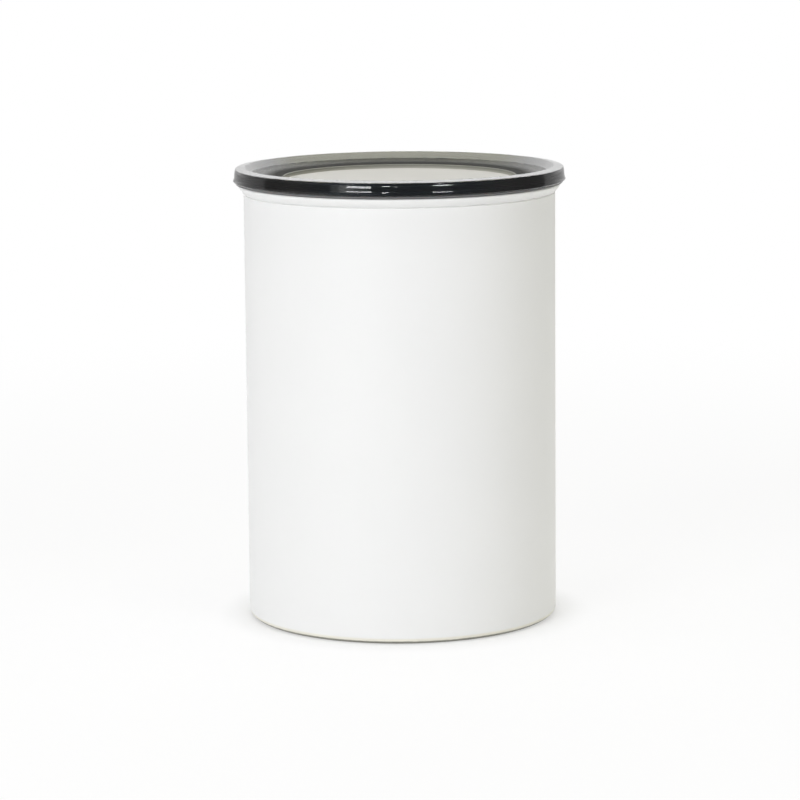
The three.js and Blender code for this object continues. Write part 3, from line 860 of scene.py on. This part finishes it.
def valve_poppet():
    bottom, top = low("valve_stem").z, high("valve_stem").z
    radius = high("valve_stem").x
    head_floor = top - VALVE_HEAD_WALL
    outline = softened(
        [(0, bottom), (STEM_RADIUS, bottom, SOFT_EDGE), (STEM_RADIUS, head_floor), (radius, head_floor),
         (radius, top, BROAD_EDGE), (0, top)],
        FINE_EDGE, closed=False)
    return settle(turned("valve_poppet", [(0, outline)], [HANDLE_PLASTIC], SMALL_STEPS, False), "valve_stem")


def valve_disc():
    bottom, top = low("valve_seal").z + VALVE_SEAL_BEAD, high("valve_seal").z
    radius = high("valve_seal").x
    bead = radius - 2 * VALVE_SEAL_BEAD
    outline = softened(
        [(STEM_BORE, bottom), (bead, bottom), (bead + VALVE_SEAL_BEAD, bottom - VALVE_SEAL_BEAD, EASED_EDGE),
         (radius, bottom), (radius, top), (STEM_BORE, top)],
        NEAT_EDGE)
    return settle(turned("valve_disc", [(0, outline)], [SILICONE], SMALL_STEPS), "valve_seal")


def valve_retainer():
    bottom, top = low("valve_clip").z, high("valve_clip").z
    radius = high("valve_clip").x
    outer_gap = math.degrees(math.asin(CLIP_MOUTH / 2 / radius))
    inner_gap = math.degrees(math.asin(CLIP_MOUTH / 2 / STEM_BORE))
    outline = arc(0, 0, radius, outer_gap - 90, 270 - outer_gap, steps=40)
    outline += arc(0, 0, STEM_BORE, 270 - inner_gap, inner_gap - 90, steps=30)
    place = Matrix.Translation((0, 0, (bottom + top) / 2 * MM))
    return settle(slab("valve_retainer", outline, top - bottom, place, [SMALL_STEEL], CLIP_EDGE), "valve_clip")


def valve_coil():
    bottom = low("valve_spring").z
    top = high("valve_spring").z
    steps = int(SPRING_TURNS * SPRING_STEPS)
    path = []
    for i in range(steps + 1):
        share = i / steps
        angle = 2 * math.pi * SPRING_TURNS * share
        height = bottom + SPRING_WIRE_RADIUS + (top - bottom - 2 * SPRING_WIRE_RADIUS) * share
        path.append((SPRING_COIL_RADIUS * math.cos(angle), SPRING_COIL_RADIUS * math.sin(angle), height))
    wire = arc(0, 0, SPRING_WIRE_RADIUS, 0, 360, WIRE_SIDES)[:-1]
    coil = swept("valve_coil", path, wire, [SMALL_STEEL])
    settle(coil, "valve_spring")
    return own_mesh(coil)


def cam_outline():
    """The cam seen along X, with its rise under the quarter turn of the handle."""
    points = []
    quarter = math.pi / 2
    for i in range(CAM_STEPS):
        angle = 2 * math.pi * i / CAM_STEPS
        if angle < quarter:
            radius = CAM_RADIUS + CAM_LIFT * angle / quarter
        else:
            fall = min((angle - quarter) / CAM_FALL_ANGLE, 1)
            radius = CAM_RADIUS + CAM_LIFT * (1 + math.cos(math.pi * fall)) / 2
        points.append((-radius * math.sin(angle), PIVOT.z - radius * math.cos(angle)))
    return points


def bail_path():
    """Middle line of the bail, from the right eye round to the left one."""
    middle = HANDLE_HALF - EYE_PROUD - HANDLE_BAND / 2
    corner = HANDLE_CORNER - HANDLE_BAND / 2
    corner_x = middle - corner
    corner_y = HANDLE_REACH - HANDLE_CORNER
    leg = [corner_y * i / LEG_STEPS for i in range(LEG_STEPS)]
    points = [(middle, y) for y in leg]
    points += arc(corner_x, corner_y, corner, 0, 90, CORNER_STEPS)
    points += arc(-corner_x, corner_y, corner, 90, 180, CORNER_STEPS)
    points += [(-middle, y) for y in reversed(leg)]
    return [(x, y, PIVOT.z) for x, y in points]


def spindle():
    """The handle's two eyes and the bar between them, turned in one piece along X."""
    eye_inner = HANDLE_HALF - EYE_LENGTH
    outline = softened(
        [(0, -HANDLE_HALF), (EYE_RADIUS, -HANDLE_HALF), (EYE_RADIUS, -eye_inner),
         (CROSSBAR_RADIUS, -eye_inner, CRISP_EDGE), (CROSSBAR_RADIUS, eye_inner, CRISP_EDGE),
         (EYE_RADIUS, eye_inner), (EYE_RADIUS, HANDLE_HALF), (0, HANDLE_HALF)],
        BROAD_EDGE, closed=False)
    return turned("spindle", [(0, outline)], [HANDLE_PLASTIC], SMALL_STEPS, False, along_x(0, 0, PIVOT.z))


def handle():
    half, thick = HANDLE_BAND / 2, HANDLE_THICKNESS / 2
    section = softened([(-half, -thick), (half, -thick), (half, thick), (-half, thick)], HANDLE_EDGE, steps=6)
    bail = swept("folding_handle", bail_path(), section, [HANDLE_PLASTIC])
    cam = slab("cam", cam_outline(), CAM_WIDTH, UPRIGHT, [HANDLE_PLASTIC], EASED_EDGE)
    combined(bail, [combined(spindle(), [cam])])
    bores = []
    pin_inner = low("handle_pin_right").x - RUNNING_GAP
    length = HANDLE_HALF + DRILL_OVERSHOOT - pin_inner
    outline = [(0, -length / 2), (PIN_BORE, -length / 2), (PIN_BORE, length / 2), (0, length / 2)]
    for side in (-1, 1):
        place = along_x(side * (pin_inner + length / 2), 0, PIVOT.z) @ HALF_STEP
        bores.append(turned("bore", [(0, outline)], [HANDLE_PLASTIC], SMALL_STEPS, False, place))
    return settle(combined(bail, bores, "DIFFERENCE"), "handle")


def handle_pin(side, node):
    inner = low("handle_pin_right").x
    head_outer = high("handle_pin_right").x
    head_inner = head_outer - PIN_HEAD_WALL
    outline = softened(
        [(0, inner), (PIN_RADIUS, inner, EASED_EDGE), (PIN_RADIUS, head_inner), (PIN_HEAD_RADIUS, head_inner),
         (PIN_HEAD_RADIUS, head_outer, SOFT_EDGE), (0, head_outer)],
        CRISP_EDGE, closed=False)
    place = along_x(0, 0, PIVOT.z)
    if side < 0:
        place = Matrix.Rotation(math.pi, 4, "Z") @ place
    return settle(turned(node + "_fine", [(0, outline)], [SMALL_STEEL], SMALL_STEPS, False, place), node)


def build_canister():
    can()
    base()
    outer_lid()
    lid_disc()
    lid_seal()
    inner_lid_shell()
    inner_lid_plate()
    wiper_ring()
    for node in SCREW_NODES:
        plate_screw(node)
    valve_collar()
    valve_poppet()
    valve_disc()
    valve_retainer()
    valve_coil()
    handle()
    handle_pin(-1, "handle_pin_left")
    handle_pin(1, "handle_pin_right")


# The studio: a pale floor, a white surround, and soft lamps at a plain level
FLOOR_SIDE = 60
FLOOR_NEAR = 0.2
FLOOR_FAR = 0.8
FLOOR_VEIL = 0.8
SHADOW_NEAR = FOOT_CENTRE * MM
SHADOW_FAR = 0.076
SHADOW_SHARE = 0.56
FLOOR_GLOW = 1.03
SURROUND_LIGHT = 0.2
FRONT_GLOOM = 0.55
FLANK_GLOOM = 0.74
UPPER_GLOOM = 0.93
SIDE_GLOOM = 0.35
ROOM_EDGE = (0.38, 0.46)
ROOM_SLANT = 0.12
OVERHEAD_GLOW = 5.8
GLOW_RISE = 1.5
GLOW_LEAN = 0.5
# Where the tones that gloss sees start and end, on a direction's depth, across or rise
GLOW_EDGE = (0.5, 0.68)
ROOM_DEPTH = (-0.4, 0.4)
TINT_DEPTH = (-0.75, -0.1)
WINDOW_RISE = (0.15, 0.5)
WINDOW_ACROSS = (-0.6, 0.0)
WALL_TOP = (0.5, 0.8)
CEILING_DEPTH = (-0.45, -0.25)
CEILING_RISE = (0.5, 0.75)
SIDE_DEPTH = (0.6, 0.98)
SIDE_RISE = (0.15, 0.4)
FLOOR_GLOOM = (0.4, 1.2)
WHITE = (1.0, 1.0, 1.0)
WARM = (1.0, 0.95, 0.5)
COOL = (0.985, 0.99, 1.0)
OLIVE = (1.0, 1.0, 0.87)
ROOM = (0.78, 0.88, 1.0)
# Softboxes that light matte surfaces: azimuth from the camera's side and height angle in degrees,
# distance, width and depth in metres, power in watts, and colour
SOFTBOXES = (
    ("key_softbox", -33, 17, 1.7, 0.75, 0.6, 13.0, COOL),
    ("left_softbox", -90, 17, 1.8, 1.0, 0.8, 4.6, WHITE),
    ("right_softbox", 44, 17, 1.7, 0.8, 0.6, 6.5, WHITE),
    ("right_fill", 100, 17, 1.8, 0.8, 0.8, 2.6, WARM),
    ("back_fill", 180, 20, 1.8, 0.9, 0.8, 5.0, WHITE),
    ("overhead_softbox", 0, 88, 1.35, 0.9, 0.9, 8.1, WHITE),
)
# Cards that show only as streaks in gloss, with the same columns
GLOSS_CARDS = (
    ("left_card", -27.5, 12.5, 1.7, 0.5, 0.15, 3.2, COOL),
    ("soft_card", -36, 11, 1.7, 0.3, 0.5, 0.5, COOL),
    ("wide_card", -34, 11, 1.7, 0.8, 0.5, 0.75, COOL),
    ("right_card", 30, 17, 1.7, 0.4, 0.12, 2.8, COOL),
    ("first_glint", -9, 17, 1.7, 0.14, 0.1, 1.0, WHITE),
    ("second_glint", -2.5, 14, 1.7, 0.06, 0.1, 0.2, WHITE),
)


def seen_rays(n):
    """1 for rays of the camera and for those that gloss or clear plastic sends on."""
    path = n.add("LightPath", output="Is Camera Ray")
    outputs = path.socket.node.outputs
    return path | Wire(n, outputs["Is Glossy Ray"]) | Wire(n, outputs["Is Transmission Ray"])


def glossy_rays(n):
    return n.add("LightPath", output="Is Glossy Ray")


def room(n, depth, across):
    """How dim the room on the camera's side is in gloss, towards a direction, and 0 behind its edge."""
    inside = 1 - n.fade(depth - ROOM_SLANT * across, *ROOM_EDGE)
    return inside * n.fade(depth, *ROOM_DEPTH, FRONT_GLOOM, FLANK_GLOOM)


def surround():
    """White all round to the eye. Gloss sees a dim room on the camera's side, and a glow overhead."""
    world = bpy.data.worlds.new("studio_surround")
    world.use_nodes = True
    bpy.context.scene.world = world
    n = Nodes(world.node_tree)
    direction = n.add("TexCoord", output="Generated")
    across = n.along(direction, "X")
    depth = n.along(direction, "Y")
    rise = n.along(direction, "Z")
    glossy = glossy_rays(n)
    front = (1 - n.fade(depth, *TINT_DEPTH)) * glossy
    left_window = n.fade(rise, *WINDOW_RISE) * (1 - n.fade(across, *WINDOW_ACROSS))
    walls = room(n, depth, across) * (1 - n.fade(rise, *WALL_TOP)) * (1 - left_window)
    ceiling = UPPER_GLOOM * (1 - n.fade(depth, *CEILING_DEPTH)) * n.fade(rise, *CEILING_RISE)
    side = SIDE_GLOOM * (1 - n.fade(depth, *SIDE_DEPTH)) * (1 - n.fade(rise, *SIDE_RISE))
    glow = OVERHEAD_GLOW * (rise | 0.0) ** GLOW_RISE * n.fade(rise + GLOW_LEAN * depth, *GLOW_EDGE)
    seen = seen_rays(n)
    gloom = (walls | ceiling | side) * glossy
    strength = seen * (1 - gloom) + glow * glossy + (1 - seen) * SURROUND_LIGHT
    sky = n.mixed(n.fade(rise, *WALL_TOP) * glossy, rgb(*WHITE), rgb(*OLIVE))
    tint = n.mixed(front, sky, rgb(*ROOM))
    light = n.add("Background", None, {"Color": tint, "Strength": strength})
    n.add("OutputWorld", None, {"Surface": light})


def floor():
    """A pale matt floor. To the eye it clears to white away from the canister, and it keeps the shadow."""
    material, n = new_material("pale_floor")
    place = n.place()
    paper = n.noise(place, scale=300, detail=3)
    colour = n.mixed(paper, rgb(0.86, 0.86, 0.85), rgb(0.88, 0.88, 0.875))
    distance = n.length(place)
    shadow = n.fade(distance, SHADOW_NEAR, SHADOW_FAR, SHADOW_SHARE, 1.0)
    veil = shadow * n.fade(distance, FLOOR_NEAR, FLOOR_FAR, FLOOR_VEIL, 1.0)
    heading = n.add("VectorMath", {"operation": "NORMALIZE"}, {0: place})
    across = n.along(heading, "X")
    depth = n.along(heading, "Y")
    gloom = (room(n, depth, across) | SIDE_GLOOM) * n.fade(distance, *FLOOR_GLOOM) * glossy_rays(n)
    diffuse = n.add("BsdfDiffuse", None, {"Color": colour})
    glow = n.fade(distance, FLOOR_NEAR, FLOOR_FAR, FLOOR_GLOW, 1.0)
    white = n.add("Emission", None, {"Color": glow * (1 - gloom)})
    n.finish(n.add("MixShader", None, {0: seen_rays(n) * veil, 1: diffuse, 2: white}))
    mesh = bpy.data.meshes.new("floor")
    half = FLOOR_SIDE / 2
    corners = [(-half, -half, 0), (half, -half, 0), (half, half, 0), (-half, half, 0)]
    mesh.from_pydata(corners, [], [(0, 1, 2, 3)])
    new_object("floor", mesh, [material])


def lamp(name, azimuth, rise, distance, width, depth, power, colour):
    """An area lamp that faces the canister's middle."""
    middle = Vector((0, 0, LID_TOP / 2 * MM))
    data = bpy.data.lights.new(name, "AREA")
    data.shape = "RECTANGLE"
    data.size = width
    data.size_y = depth
    data.energy = power
    data.color = colour
    turn, lift = math.radians(azimuth), math.radians(rise)
    away = Vector((math.sin(turn) * math.cos(lift), -math.cos(turn) * math.cos(lift), math.sin(lift)))
    piece = bpy.data.objects.new(name, data)
    piece.location = middle + distance * away
    piece.rotation_euler = (-away).to_track_quat("-Z", "Y").to_euler()
    bpy.context.scene.collection.objects.link(piece)
    return piece


def lamps():
    for values in SOFTBOXES:
        lamp(*values).visible_glossy = False
    for values in GLOSS_CARDS:
        lamp(*values).visible_diffuse = False


def camera():
    data = bpy.data.cameras.new("camera")
    data.sensor_fit = "HORIZONTAL"
    data.sensor_width = SENSOR_WIDTH
    data.lens = FOCAL_PIXELS / IMAGE_SIDE * SENSOR_WIDTH
    data.clip_end = CAMERA_FAR
    piece = bpy.data.objects.new("camera", data)
    tilt = Matrix.Rotation(math.radians(90 - CAMERA_PITCH), 4, "X")
    roll = Matrix.Rotation(math.radians(-CAMERA_ROLL), 4, "Z")
    piece.matrix_world = Matrix.Translation(CAMERA_PLACE) @ tilt @ roll
    bpy.context.scene.collection.objects.link(piece)
    bpy.context.scene.camera = piece


camera()
surround()
floor()
lamps()
build_canister()
bpy.context.scene.view_settings.view_transform = "Standard"
